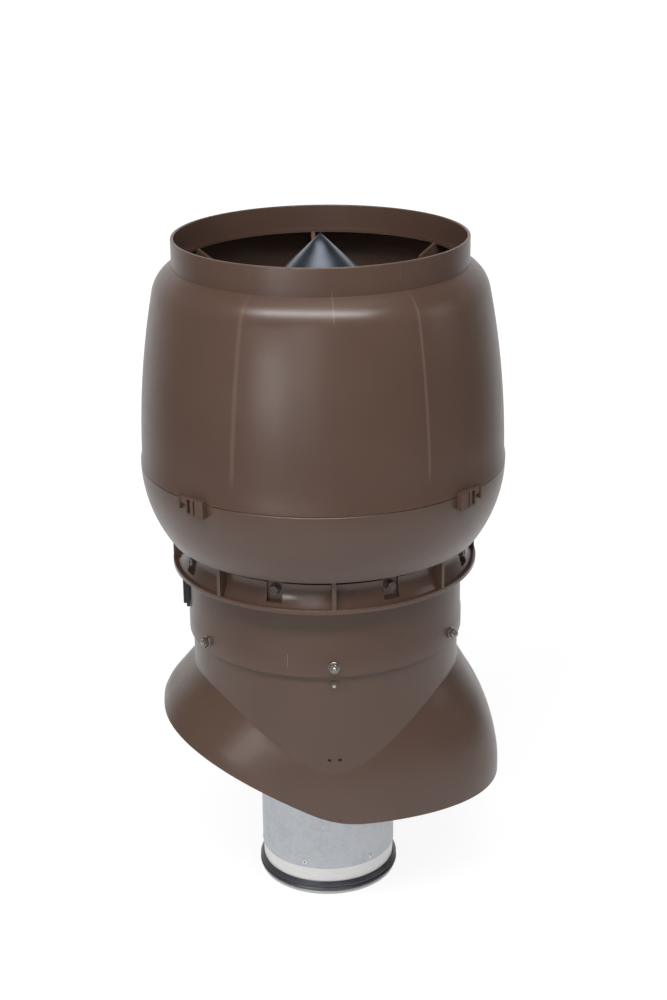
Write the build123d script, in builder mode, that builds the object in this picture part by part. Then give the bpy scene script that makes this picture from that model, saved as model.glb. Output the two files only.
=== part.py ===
from build123d import *
import os
from math import acos, asin, cos, degrees, hypot, radians, sin, sqrt, tan

# Insulated roof ventilation pipe with a rain hood, in millimetres.
# The origin is the centre of the duct's lower end. Z is up, -Y is the front, and the roof falls to +X.
# An angle round the pipe is measured from the front towards +X.

# Clearances
fit = 0.3
sheet_fit = 0.2
hole_play = 0.6

# Air duct with its rubber-sealed coupling
duct_radius = 80.0
sheet = 0.8
duct_top = 478.0
coupling_reach = 34.0
coupling_insert = 30.0
bead_height = 3.0
bead_proud = 0.7
seal_height = 11.0
seal_base = 1.6
seal_lip_reach = 4.4
seal_lip_root = 3.6
seal_lip_tip = 1.0
seal_lip_sweep = 1.6
seal_lip_gap = 0.8
rivet_count = 6
rivet_angle = 36.0
rivet_above_edge = 7.0
rivet_head_radius = 2.8
rivet_head_height = 1.0
rivet_shank_radius = 1.6

# Round steel casing that holds the insulation
casing_radius = 149.8
casing_bottom = 185.0
casing_top = 434.0
plate_rim_height = 10.0
plate_collar_height = 10.0

# Plastic jacket
jacket_radius = 157.5
jacket_wall = 2.8
jacket_bottom = 325.0
jacket_top = 436.0
socket_flare = 1.1
socket_height = 20.0
socket_taper = 6.0
entry_hole_radius = 8.0
entry_height = 371.0
entry_plate_width = 26.0
entry_plate_height = 40.0
entry_plate_depth = 3.6
entry_cap_width = 20.0
entry_cap_height = 34.0
entry_cap_depth = 3.7
entry_tail_depth = 1.5
entry_tail_wall = 2.0
entry_corner = 3.0
entry_rounding = 1.2

# Skirt: a neck in the jacket's socket, and a barrel that turns about a level axis along Y
neck_wall = 3.0
neck_insert = 25.0
skirt_wall = 3.5
barrel_height = 146.8
barrel_reach = 204.7
barrel_half_width = 159.1
barrel_squareness = 2.65
barrel_steps = 6
barrel_foot = 20.0
barrel_top = 300.0
rim_height = 139.1
rim_break = 2.5
rim_rise_angle = 25.4
rim_blend = 140.0
crease_fillet = 4.0
bolt_count = 6
bolt_above_seam = 12.0
bolt_radius = 3.0
bolt_head_radius = 6.0
bolt_head_height = 1.1
bolt_end = 2.5
nut_size = 10.0
nut_height = 5.0
washer_radius = 6.5
washer_height = 1.5
boss_radius = 6.0
boss_proud = 0.8
boss_below_seam = 12.6
gate_radius = 1.9
gate_proud = 1.2
pad_width = 26.0
pad_height = 15.0
pad_proud = 0.7
pad_below_seam = 104.7
slope_hole_radius = 2.1
slope_hole_spacing = 12.0

# Ribbed ring that clamps round the jacket and carries the hood
flange_radius = 174.7
flange_thickness = 4.0
ring_bottom = 408.5
ring_top = 437.0
ring_foot_radius = 169.0
ring_waist_radius = 165.2
ring_head_radius = 163.8
ring_waist_height = 421.0
rib_count = 8
rib_thickness = 4.6
rib_inset = 0.5
rib_foot_depth = 1.0
hook_thickness = 3.1
hook_nose = 2.6
hook_height = 7.0
hook_nose_height = 3.0
ring_wall = 3.0
flange_rounding = 0.8
channel_width = 18.0
channel_floor = 161.2
channel_bottom = 415.5
screw_height = 429.0
screw_radius = 2.75
screw_head_size = 10.0
screw_head_height = 4.5
screw_tip_radius = 146.6
ring_washer_radius = 6.0
ring_washer_height = 1.2

# Hood: a bowl below, and a bell with a collar above, on a level seam
hood_wall = 3.5
seam_height = 530.0
seam_gap = 0.4
seam_bevel = 0.6
bowl_radius = 206.3
bowl_curve = 150.0
bowl_widest = 532.0
bowl_hole_radius = 168.0
bowl_floor = 445.2
upstand_height = 7.0
upstand_depth = 9.0
upstand_thickness = 2.0
bell_radius = 204.8
bell_curve = 965.0
bell_widest = 535.0
shoulder_curve = 40.0
shoulder_height = 724.0
bead_radius = 206.3
bead_depth = 11.0
mouth_radius = 155.0
collar_radius = 163.5
collar_wall = 3.5
collar_top = 782.7
collar_rounding = 1.2
fin_count = 6
fin_thickness = 4.5
fin_bottom = 650.0
fin_inner_radius = 82.0
fin_shoulder_radius = 135.0
fin_shoulder_drop = 13.0
fin_post_height = 10.0

# Clips across the hood's seam, with lengths along the seam from the clip's end next to the front or back
clip_angle = 40.0
clip_block_width = 11.0
clip_block_proud = 6.5
clip_above = 5.5
clip_below = 14.0
clip_leg_start = 14.5
clip_leg_width = 4.5
clip_slot = 4.5
clip_bar = 2.0
clip_leg_proud = 5.0
clip_arm_end = 40.0
clip_arm_half_height = 4.0
clip_arm_proud = 2.2
clip_tip_width = 3.0
clip_tip_below = 11.0
clip_tip_proud = 3.2

# Deflector: a cone over the duct's mouth, closed below by a flatter one that is held in the cone's hem
cone_radius = 115.0
cone_base = 676.0
cone_apex = 784.0
cone_sheet = 1.0
hem_depth = 2.4
hem_width = 4.0
tray_depth = 60.0
cone_screw_radius = 1.5
cone_screw_place = 99.0
cone_screw_length = 12.0
cone_screw_head_radius = 3.5
cone_screw_head_height = 2.0

# Cover over the top of the insulation
cap_collar_height = 14.0
cap_collar_wall = 2.0
cap_thickness = 2.0
cap_rise = 9.0
cap_brim_radius = 161.2


def arc_radius(height, centre_radius, centre_height, curve):
    """Radius from the pipe's axis of an arc's point at a height."""
    return centre_radius + sqrt(curve**2 - (height - centre_height) ** 2)


# Sizes that follow from the ones above
coupling_radius = duct_radius - sheet - sheet_fit
duct_bottom = coupling_reach
rivet_height = duct_bottom + rivet_above_edge
casing_inner = casing_radius - sheet
jacket_inner = jacket_radius - jacket_wall
neck_radius = jacket_inner - fit
neck_inner = neck_radius - neck_wall
neck_top = jacket_bottom + neck_insert
socket_radius = jacket_radius + socket_flare
bolt_height = jacket_bottom + bolt_above_seam
flange_top = ring_bottom + flange_thickness
rib_top = bowl_floor - sheet_fit
ring_bore = jacket_radius + fit
bowl_centre = bowl_radius - bowl_curve
bell_centre = bell_radius - bell_curve
shoulder_turn = degrees(asin((shoulder_height - bell_widest) / bell_curve))
shoulder_x = bell_centre + (bell_curve - shoulder_curve) * cos(radians(shoulder_turn))
shoulder_z = bell_widest + (bell_curve - shoulder_curve) * sin(radians(shoulder_turn))
mouth_turn = degrees(acos((mouth_radius - shoulder_x) / shoulder_curve))
bell_bottom = seam_height + seam_gap / 2
bowl_top = seam_height - seam_gap / 2
bell_inner_at_seam = arc_radius(bell_bottom, bell_centre, bell_widest, bell_curve - hood_wall)
hem_bottom = cone_base - cone_sheet - hem_depth
tray_flat_radius = cone_radius - cone_sheet - hem_width
tray_rim_radius = cone_radius - cone_sheet - sheet_fit
tray_bottom = hem_bottom + sheet_fit

os.makedirs("parts", exist_ok=True)


def polar_angles(count, first=0.0):
    """Angles of an even ring of places, from the front."""
    return [first + index * 360.0 / count for index in range(count)]


def radial(angle, radius, height):
    """Plane on a circle round the pipe: x runs along the circle, y is up, and z points outwards."""
    turn = radians(angle)
    outward = (sin(turn), -cos(turn), 0)
    origin = (radius * outward[0], radius * outward[1], height)
    return Plane(origin=origin, x_dir=(cos(turn), sin(turn), 0), z_dir=outward)


def upright(angle):
    """Plane through the pipe's axis: x points outwards and y is up."""
    turn = radians(angle)
    return Plane(origin=(0, 0, 0), x_dir=(sin(turn), -cos(turn), 0), z_dir=(-cos(turn), -sin(turn), 0))


def tube(outer, inner, bottom, top):
    """Plain round tube, added to the part that is being built."""
    with BuildSketch(Plane.XY.offset(bottom)) as ring:
        Circle(outer)
        Circle(inner, mode=Mode.SUBTRACT)
    extrude(ring.sketch, amount=top - bottom)


def drill(places, radius, depth):
    """Round holes, from each place inwards along its normal."""
    with BuildSketch(*places) as holes:
        Circle(radius)
    extrude(holes.sketch, amount=-depth, mode=Mode.SUBTRACT)


def studs(places, radius, length):
    """Round pins, from each place along its normal."""
    with BuildSketch(*places) as discs:
        Circle(radius)
    extrude(discs.sketch, amount=length)


rivet_angles = polar_angles(rivet_count, rivet_angle)
bolt_angles = polar_angles(bolt_count)
rib_angles = polar_angles(rib_count)
screw_angles = polar_angles(rib_count, 180.0 / rib_count)
fin_angles = polar_angles(fin_count)

# Rolled galvanised duct
with BuildPart() as duct_pipe:
    tube(duct_radius, duct_radius - sheet, duct_bottom, duct_top)
    drill([radial(a, duct_radius, rivet_height) for a in rivet_angles], rivet_shank_radius + sheet_fit, 4 * sheet)
duct_pipe.part.label = "duct_pipe"
export_step(duct_pipe.part, "parts/duct_pipe.step")

# Coupling in the duct's lower end, with a rolled bead at its edge
with BuildPart() as duct_coupling:
    tube(coupling_radius, coupling_radius - sheet, 0, coupling_reach + coupling_insert)
    tube(coupling_radius + bead_proud, coupling_radius - sheet, 0, bead_height)
    fillet(duct_coupling.edges().filter_by(GeomType.CIRCLE).group_by(SortBy.RADIUS)[-1], bead_proud * 0.7)
    drill([radial(a, duct_radius, rivet_height) for a in rivet_angles], rivet_shank_radius + sheet_fit, 5 * sheet)
duct_coupling.part.label = "duct_coupling"
export_step(duct_coupling.part, "parts/duct_coupling.step")

# Rubber ring with two lips, above the bead
seal_back = coupling_radius + sheet_fit
seal_face = seal_back + seal_base
seal_bottom = bead_height + sheet_fit
lip_step = seal_height / 2
with BuildPart() as duct_seal:
    seal_outline = [
        (seal_face, seal_bottom + seal_height),
        (seal_back, seal_bottom + seal_height),
        (seal_back, seal_bottom),
        (seal_face, seal_bottom),
    ]
    for low in (seal_bottom + seal_lip_gap, seal_bottom + seal_lip_gap + lip_step):
        seal_outline += [
            (seal_face, low),
            (seal_back + seal_lip_reach, low + seal_lip_sweep),
            (seal_back + seal_lip_reach, low + seal_lip_sweep + seal_lip_tip),
            (seal_face, low + seal_lip_root),
        ]
    with BuildSketch(Plane.XZ):
        with BuildLine():
            Polyline(*seal_outline, close=True)
        make_face()
    revolve(axis=Axis.Z)
duct_seal.part.label = "duct_seal"
export_step(duct_seal.part, "parts/duct_seal.step")

# Blind rivets that hold the coupling in the duct
rivet_seat = duct_radius + sheet_fit / 2
with BuildPart() as coupling_rivets:
    studs([radial(a, rivet_seat, rivet_height) for a in rivet_angles], rivet_head_radius, rivet_head_height)
    fillet(coupling_rivets.edges().filter_by(lambda e: e.center().Z == e.center().Z
           and hypot(e.center().X, e.center().Y) > rivet_seat + rivet_head_height / 2), rivet_head_height * 0.6)
    studs([radial(a, rivet_seat, rivet_height) for a in rivet_angles], rivet_shank_radius,
          -(2 * sheet + 2 * sheet_fit))
coupling_rivets.part.label = "coupling_rivets"
export_step(coupling_rivets.part, "parts/coupling_rivets.step")

# Flat plate that closes the casing below, with a rim inside the casing and a collar round the duct
plate_inner = duct_radius + sheet_fit
plate_top = casing_bottom - sheet_fit
rim_outer = casing_inner - sheet_fit
with BuildPart() as casing_end_plate:
    tube(casing_radius, plate_inner, plate_top - sheet, plate_top)
    tube(rim_outer, rim_outer - sheet, plate_top, plate_top + plate_rim_height)
    tube(plate_inner + sheet, plate_inner, plate_top - sheet - plate_collar_height, plate_top)
casing_end_plate.part.label = "casing_end_plate"
export_step(casing_end_plate.part, "parts/casing_end_plate.step")

# Round casing, drilled for the ring's screws
with BuildPart() as casing_pipe:
    tube(casing_radius, casing_inner, casing_bottom, casing_top)
    drill([radial(a, casing_radius, screw_height) for a in screw_angles], screw_radius + fit, 4 * sheet)
casing_pipe.part.label = "casing_pipe"
export_step(casing_pipe.part, "parts/casing_pipe.step")

# Mineral wool between the duct and the casing
wool_outer = rim_outer - sheet - sheet_fit
with BuildPart() as insulation_wool:
    tube(wool_outer, plate_inner, casing_bottom, casing_top)
    drill([radial(a, wool_outer, screw_height) for a in screw_angles],
          screw_radius + fit, wool_outer - screw_tip_radius + fit)
insulation_wool.part.label = "insulation_wool"
export_step(insulation_wool.part, "parts/insulation_wool.step")

# Cover that sheds rain from the top of the insulation, with a collar round the duct
cap_seat = ring_top + sheet_fit
cap_foot = casing_top + sheet_fit
with BuildPart() as casing_top_cap:
    with BuildSketch(Plane.XZ):
        with BuildLine():
            Polyline(
                (plate_inner, cap_seat + cap_rise - cap_thickness),
                (plate_inner, cap_seat + cap_rise + cap_collar_height),
                (plate_inner + cap_collar_wall, cap_seat + cap_rise + cap_collar_height),
                (plate_inner + cap_collar_wall, cap_seat + cap_rise),
                (casing_inner, cap_seat + cap_thickness),
                (cap_brim_radius, cap_seat + cap_thickness),
                (cap_brim_radius, cap_seat),
                (casing_radius, cap_seat),
                (casing_radius, cap_foot),
                (casing_inner - cap_thickness, cap_foot),
                (casing_inner - cap_thickness, cap_seat),
                close=True,
            )
        make_face()
    revolve(axis=Axis.Z)
casing_top_cap.part.label = "casing_top_cap"
export_step(casing_top_cap.part, "parts/casing_top_cap.step")

# Jacket, a plastic pipe with a shallow socket over the skirt's neck
socket_top = jacket_bottom + socket_height
with BuildPart() as jacket_pipe:
    with BuildSketch(Plane.XZ):
        with BuildLine():
            Polyline(
                (jacket_inner, jacket_bottom),
                (socket_radius, jacket_bottom),
                (socket_radius, socket_top),
                (jacket_radius, socket_top + socket_taper),
                (jacket_radius, jacket_top),
                (jacket_inner, jacket_top),
                close=True,
            )
        make_face()
    revolve(axis=Axis.Z)
    drill([radial(a, socket_radius, bolt_height) for a in bolt_angles],
          bolt_radius + fit, 2 * jacket_wall + socket_flare)
    drill([radial(a, jacket_radius, screw_height) for a in screw_angles], screw_radius + fit, 2 * jacket_wall)
    drill([radial(-90, jacket_radius, entry_height)], entry_hole_radius + fit, 2 * jacket_wall)
jacket_pipe.part.label = "jacket_pipe"
export_step(jacket_pipe.part, "parts/jacket_pipe.step")

# Black plug that closes the cable entry on the jacket's upslope side
entry_face = jacket_radius + sheet_fit
with BuildPart() as cable_entry_plug:
    with BuildSketch(radial(-90, entry_face, entry_height)):
        RectangleRounded(entry_plate_width, entry_plate_height, entry_corner)
    extrude(amount=entry_plate_depth)
    with BuildSketch(radial(-90, entry_face + entry_plate_depth, entry_height)):
        RectangleRounded(entry_cap_width, entry_cap_height, entry_corner)
    extrude(amount=entry_cap_depth)
    fillet(cable_entry_plug.faces().sort_by(Axis.X)[0].edges(), entry_rounding)
    with BuildSketch(radial(-90, entry_face, entry_height)):
        Circle(entry_hole_radius)
        Circle(entry_hole_radius - entry_tail_wall, mode=Mode.SUBTRACT)
    extrude(amount=-(jacket_wall + sheet_fit + entry_tail_depth))
cable_entry_plug.part.label = "cable_entry_plug"
export_step(cable_entry_plug.part, "parts/cable_entry_plug.step")


def barrel_section(inset):
    """Half section of the skirt's barrel, a squared ellipse beside its level axis."""
    reach = barrel_reach - inset
    half = barrel_half_width - inset
    points = [(0, -half)]
    for step in range(1 - barrel_steps, barrel_steps):
        swing = radians(90.0 * abs(step) / barrel_steps)
        side = -1 if step < 0 else 1
        points.append((reach * cos(swing), side * half * sin(swing) ** (2 / barrel_squareness)))
    points.append((0, half))
    with BuildSketch(Plane.XY.offset(barrel_height)) as section:
        with BuildLine():
            Spline(*points, tangents=[(1, 0), (-1, 0)])
            Line(points[-1], points[0])
        make_face()
    return section.sketch


def barrel(inset, mode=Mode.ADD):
    """Upper half of the barrel, turned about its level axis, with a straight foot below the axis."""
    section = barrel_section(inset)
    revolve(section, axis=Axis((0, 0, barrel_height), (0, -1, 0)), revolution_arc=180, mode=mode)
    outline = section + mirror(section, about=Plane.YZ, mode=Mode.PRIVATE)
    extrude(outline, amount=barrel_foot, dir=(0, 0, -1), mode=mode)


# Skirt, one moulding: the neck runs down as a tongue at the front and back, between the barrel's two wings
room = 3 * barrel_reach
rim_rise = room * tan(radians(rim_rise_angle))
pad_centre = jacket_bottom - pad_below_seam
pad_turn = degrees(pad_width / neck_radius)
hole_turn = degrees(slope_hole_spacing / neck_radius)
boss_height = jacket_bottom - boss_below_seam
with BuildPart() as skirt:
    barrel(0)
    with BuildSketch(Plane.XY.offset(barrel_top)):
        Rectangle(room, room)
    extrude(amount=barrel_reach, mode=Mode.SUBTRACT)
    with BuildSketch(Plane.XY.offset(barrel_height)):
        Circle(neck_radius)
    extrude(amount=neck_top - barrel_height)
    creases = skirt.edges().filter_by(
        lambda e: e.bounding_box().size.Z > 5 * skirt_wall and e.bounding_box().max.Z < barrel_top - 1)
    fillet(creases, crease_fillet)
    barrel(skirt_wall, Mode.SUBTRACT)
    with BuildSketch(Plane.XY.offset(barrel_height)):
        Circle(neck_inner)
    extrude(amount=neck_top - barrel_height, mode=Mode.SUBTRACT)
    with BuildSketch(Plane.XZ):
        with BuildLine():
            FilletPolyline(
                (room, rim_height),
                (rim_break, rim_height),
                (rim_break - room, rim_height + rim_rise),
                radius=rim_blend,
            )
            Polyline(
                (rim_break - room, rim_height + rim_rise),
                (rim_break - room, rim_height - room),
                (room, rim_height - room),
                (room, rim_height),
            )
        make_face()
    extrude(amount=barrel_reach, both=True, mode=Mode.SUBTRACT)
    with BuildSketch(upright(-pad_turn / 2)) as pad_section:
        with Locations((neck_radius, pad_centre)):
            Rectangle(2 * pad_proud, pad_height)
    revolve(pad_section.sketch, axis=Axis.Z, revolution_arc=pad_turn)
    drill([radial(a, neck_radius + 2 * pad_proud, pad_centre) for a in (-hole_turn / 2, hole_turn / 2)],
          slope_hole_radius, 2 * skirt_wall)
    studs([radial(0, neck_radius - boss_proud, boss_height)], boss_radius, 2 * boss_proud)
    studs([radial(0, neck_radius, boss_height)], gate_radius, boss_proud + gate_proud)
    drill([radial(a, neck_radius, bolt_height) for a in bolt_angles], bolt_radius + fit, 2 * neck_wall)
skirt.part.label = "skirt"
export_step(skirt.part, "parts/skirt.step")


def washers(places, outer, hole, height):
    """Flat round washers, from each place along its normal."""
    with BuildSketch(*places) as rings:
        Circle(outer)
        Circle(hole, mode=Mode.SUBTRACT)
    extrude(rings.sketch, amount=height)


def hexagons(places, flats, height, hole=0.0):
    """Hexagon heads or nuts, from each place along its normal."""
    with BuildSketch(*places) as outlines:
        RegularPolygon(flats / 2, 6, major_radius=False)
        if hole:
            Circle(hole, mode=Mode.SUBTRACT)
    extrude(outlines.sketch, amount=height)


# Flat-headed bolts that join the skirt and the jacket, put in from inside
bolt_seat = sqrt(neck_inner**2 - bolt_head_radius**2) - sheet_fit / 2
washer_seat = socket_radius + sheet_fit / 2
nut_seat = washer_seat + washer_height + sheet_fit / 2
with BuildPart() as skirt_bolts:
    bolt_places = [radial(a, bolt_seat, bolt_height) for a in bolt_angles]
    studs(bolt_places, bolt_head_radius, -bolt_head_height)
    studs(bolt_places, bolt_radius, nut_seat + nut_height + bolt_end - bolt_seat)
skirt_bolts.part.label = "skirt_bolts"
export_step(skirt_bolts.part, "parts/skirt_bolts.step")

# Washers under the nuts
with BuildPart() as skirt_washers:
    washers([radial(a, washer_seat, bolt_height) for a in bolt_angles], washer_radius, bolt_radius + fit,
            washer_height)
skirt_washers.part.label = "skirt_washers"
export_step(skirt_washers.part, "parts/skirt_washers.step")

# Nuts on the outside
with BuildPart() as skirt_nuts:
    hexagons([radial(a, nut_seat, bolt_height) for a in bolt_angles], nut_size, nut_height,
             bolt_radius + sheet_fit / 2)
skirt_nuts.part.label = "skirt_nuts"
export_step(skirt_nuts.part, "parts/skirt_nuts.step")

# Ribbed ring that clamps round the jacket: coved wall, eight ribs with snap hooks, and eight screw channels
pocket_turn = 360.0 / rib_count - 2 * degrees(asin((channel_width / 2 + ring_wall) / ring_bore))
pocket_foot = ring_foot_radius - ring_wall
rib_outer = flange_radius - rib_inset
rib_root = ring_bore + ring_wall / 2
hook_face = bowl_hole_radius - fit
hook_seat = bowl_floor + hood_wall + fit
channel_top = ring_top + ring_wall
with BuildPart() as hood_base_ring:
    with BuildSketch(Plane.XZ) as ring_section:
        with BuildLine():
            Polyline(
                (ring_head_radius, ring_top),
                (ring_bore, ring_top),
                (ring_bore, ring_bottom),
                (flange_radius, ring_bottom),
                (flange_radius, flange_top),
                (ring_foot_radius, flange_top),
            )
            ThreePointArc(
                (ring_foot_radius, flange_top),
                (ring_waist_radius, ring_waist_height),
                (ring_head_radius, ring_top),
            )
        make_face()
    revolve(ring_section.sketch, axis=Axis.Z)
    fillet(hood_base_ring.edges().filter_by(GeomType.CIRCLE).group_by(SortBy.RADIUS)[-1], flange_rounding)
    with BuildSketch(*[upright(a - pocket_turn / 2) for a in rib_angles]) as pockets:
        with BuildLine():
            Polyline(
                (ring_head_radius - ring_wall, ring_top - ring_wall),
                (ring_bore - ring_wall, ring_top - ring_wall),
                (ring_bore - ring_wall, ring_bottom - ring_wall),
                (pocket_foot, ring_bottom - ring_wall),
                (pocket_foot, ring_bottom),
            )
            ThreePointArc(
                (pocket_foot, ring_bottom),
                (ring_waist_radius - ring_wall, ring_waist_height),
                (ring_head_radius - ring_wall, ring_top - ring_wall),
            )
        make_face()
    revolve(pockets.sketch, axis=Axis.Z, revolution_arc=pocket_turn, mode=Mode.SUBTRACT)
    with BuildSketch(*[upright(a) for a in rib_angles]) as ribs:
        with BuildLine():
            Polyline(
                (rib_root, flange_top - rib_foot_depth),
                (rib_outer, flange_top - rib_foot_depth),
                (rib_outer, rib_top),
                (hook_face, rib_top),
                (hook_face, hook_seat),
                (hook_face + hook_nose, hook_seat),
                (hook_face, hook_seat + hook_nose_height),
                (hook_face, hook_seat + hook_height),
                (hook_face - hook_thickness, hook_seat + hook_height),
                (hook_face - hook_thickness, ring_top - ring_wall / 2),
                (rib_root, ring_top - ring_wall / 2),
                close=True,
            )
        make_face()
    extrude(ribs.sketch, amount=rib_thickness / 2, both=True)
    channel_centre = (channel_bottom + channel_top) / 2
    with BuildSketch(*[radial(a, channel_floor, channel_centre) for a in screw_angles]) as channels:
        Rectangle(channel_width, channel_top - channel_bottom)
    extrude(channels.sketch, amount=flange_radius - channel_floor, mode=Mode.SUBTRACT)
    drill([radial(a, channel_floor, screw_height) for a in screw_angles], screw_radius + fit,
          2 * (channel_floor - ring_bore))
hood_base_ring.part.label = "hood_base_ring"
export_step(hood_base_ring.part, "parts/hood_base_ring.step")

# Washers of the ring's screws, on the floors of the channels
ring_washer_seat = channel_floor + sheet_fit / 2
with BuildPart() as ring_washers:
    washers([radial(a, ring_washer_seat, screw_height) for a in screw_angles], ring_washer_radius,
            screw_radius + fit, ring_washer_height)
ring_washers.part.label = "ring_washers"
export_step(ring_washers.part, "parts/ring_washers.step")

# Hexagon screws through the ring, the jacket and the casing
screw_seat = ring_washer_seat + ring_washer_height + sheet_fit / 2
with BuildPart() as ring_screws:
    screw_places = [radial(a, screw_seat, screw_height) for a in screw_angles]
    hexagons(screw_places, screw_head_size, screw_head_height)
    studs(screw_places, screw_radius, screw_tip_radius - screw_seat)
ring_screws.part.label = "ring_screws"
export_step(ring_screws.part, "parts/ring_screws.step")


def bowl_at(height, inset=0.0):
    """Radius of the bowl's outer face, or of its inner one for the wall's inset."""
    return arc_radius(height, bowl_centre, bowl_widest, bowl_curve - inset)


def bell_at(height, inset=0.0):
    """Radius of the bell's outer face, or of its inner one for the wall's inset."""
    return arc_radius(height, bell_centre, bell_widest, bell_curve - inset)


# Lower half of the hood, a bowl with a flat floor ring and a lip that stands up inside the bell
lip_outer = bell_inner_at_seam - fit
lip_inner = lip_outer - upstand_thickness
lip_foot = seam_height - upstand_depth
lip_root = lip_foot - (bowl_at(lip_foot, hood_wall) - lip_inner)
floor_top = bowl_floor + hood_wall
with BuildPart() as hood_bowl:
    with BuildSketch(Plane.XZ):
        with BuildLine():
            Polyline(
                (bowl_at(floor_top, hood_wall), floor_top),
                (bowl_hole_radius, floor_top),
                (bowl_hole_radius, bowl_floor),
                (bowl_at(bowl_floor), bowl_floor),
            )
            ThreePointArc(
                (bowl_at(bowl_floor), bowl_floor),
                (bowl_at((bowl_floor + bowl_top) / 2), (bowl_floor + bowl_top) / 2),
                (bowl_at(bowl_top - seam_bevel), bowl_top - seam_bevel),
            )
            Polyline(
                (bowl_at(bowl_top - seam_bevel), bowl_top - seam_bevel),
                (bowl_at(bowl_top) - seam_bevel, bowl_top),
                (lip_outer, bowl_top),
                (lip_outer, seam_height + upstand_height),
                (lip_inner, seam_height + upstand_height),
                (lip_inner, lip_foot),
                (bowl_at(lip_root, hood_wall), lip_root),
            )
            ThreePointArc(
                (bowl_at(lip_root, hood_wall), lip_root),
                (bowl_at((lip_root + floor_top) / 2, hood_wall), (lip_root + floor_top) / 2),
                (bowl_at(floor_top, hood_wall), floor_top),
            )
        make_face()
    revolve(axis=Axis.Z)
hood_bowl.part.label = "hood_bowl"
export_step(hood_bowl.part, "parts/hood_bowl.step")


def shoulder_point(angle, inset=0.0):
    """Point of the bell's shoulder arc, at an angle from level."""
    curve = shoulder_curve - inset
    return (shoulder_x + curve * cos(radians(angle)), shoulder_z + curve * sin(radians(angle)))


def shoulder_angle(radius, inset=0.0):
    """Angle from level at which the shoulder arc reaches a radius."""
    return degrees(acos((radius - shoulder_x) / (shoulder_curve - inset)))


def bell_line(inset, bottom, mouth):
    """Side and shoulder of the bell, from a height up to its mouth."""
    start = (bell_at(bottom, inset), bottom)
    joint = shoulder_point(shoulder_turn, inset)
    middle = (bottom + joint[1]) / 2
    end_angle = shoulder_angle(mouth, inset)
    ThreePointArc(start, (bell_at(middle, inset), middle), joint)
    ThreePointArc(joint, shoulder_point((shoulder_turn + end_angle) / 2, inset), shoulder_point(end_angle, inset))


tray_slope = tray_depth / tray_flat_radius
tray_lift = cone_sheet * sqrt(1 + tray_slope**2)
tray_apex = tray_bottom - tray_depth
fin_post_radius = cone_radius + fit
fin_seat = hem_bottom - cone_sheet - sheet_fit
fin_seat_end = tray_flat_radius - (tray_bottom - sheet_fit - fin_seat) / tray_slope
mouth_height = shoulder_point(shoulder_angle(mouth_radius, hood_wall / 2), hood_wall / 2)[1]
collar_foot = shoulder_point(shoulder_angle(collar_radius - collar_wall / 2, hood_wall / 2), hood_wall / 2)[1]


def tray_plane(angle, lift):
    """Plane on the flatter cone's face over a fin, lifted along that face's normal."""
    turn = radians(angle)
    outward = Vector(sin(turn), -cos(turn), 0)
    normal = (Vector(0, 0, 1) - outward * tray_slope).normalized()
    height = tray_bottom - (tray_flat_radius - cone_screw_place) * tray_slope
    origin = outward * cone_screw_place + Vector(0, 0, height) + normal * lift
    return Plane(origin=origin, x_dir=(cos(turn), sin(turn), 0), z_dir=normal)


# Upper half of the hood: a bell with a beaded lower edge, a collar round its mouth, and six fins inside
bell_rim = bell_bottom + bead_depth
with BuildPart() as hood_bell:
    with BuildSketch(*[upright(a) for a in fin_angles]) as fins:
        with BuildLine():
            Polyline(
                (bead_radius, fin_bottom),
                (fin_inner_radius, fin_bottom),
                (fin_inner_radius, fin_seat - (fin_seat_end - fin_inner_radius) * tray_slope),
                (fin_seat_end, fin_seat),
                (fin_post_radius, fin_seat),
                (fin_post_radius, fin_seat + fin_post_height),
                (fin_shoulder_radius, mouth_height - fin_shoulder_drop),
                (mouth_radius + hood_wall / 2, mouth_height),
                (bead_radius, mouth_height),
                close=True,
            )
        make_face()
    extrude(fins.sketch, amount=fin_thickness / 2, both=True)
    with BuildSketch(Plane.XZ) as hood_room:
        with BuildLine():
            bell_line(hood_wall / 2, bell_rim, mouth_radius)
            Polyline(
                shoulder_point(shoulder_angle(mouth_radius, hood_wall / 2), hood_wall / 2),
                (0, mouth_height),
                (0, bell_rim),
                (bell_at(bell_rim, hood_wall / 2), bell_rim),
            )
        make_face()
    revolve(hood_room.sketch, axis=Axis.Z, mode=Mode.INTERSECT)
    with BuildSketch(Plane.XZ) as bell_section:
        with BuildLine():
            bell_line(0, bell_rim, mouth_radius)
            bell_line(hood_wall, bell_bottom, mouth_radius)
            Line(shoulder_point(shoulder_angle(mouth_radius)),
                 shoulder_point(shoulder_angle(mouth_radius, hood_wall), hood_wall))
            Polyline(
                (bell_at(bell_rim), bell_rim),
                (bead_radius, bell_bottom + bead_depth / 3),
                (bead_radius, bell_bottom + seam_bevel),
                (bead_radius - seam_bevel, bell_bottom),
                (bell_inner_at_seam, bell_bottom),
            )
        make_face()
    revolve(bell_section.sketch, axis=Axis.Z)
    tube(collar_radius, collar_radius - collar_wall, collar_foot, collar_top)
    fillet(hood_bell.edges().group_by(Axis.Z)[-1], collar_rounding)
    drill([tray_plane(a, 0) for a in fin_angles], cone_screw_radius + sheet_fit / 2, cone_screw_length)
hood_bell.part.label = "hood_bell"
export_step(hood_bell.part, "parts/hood_bell.step")


def clip_bar_along(angle, side, start, end, low, high, proud):
    """Bar that follows the seam round the hood, between two lengths along it and two heights from it."""
    near = degrees(start / bead_radius)
    far = degrees(end / bead_radius)
    first = angle + near if side > 0 else angle - far
    with BuildSketch(upright(first)) as section:
        with Locations((bead_radius + sheet_fit + proud / 2, seam_height + (low + high) / 2)):
            Rectangle(proud, high - low)
    revolve(section.sketch, axis=Axis.Z, revolution_arc=far - near)


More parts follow.
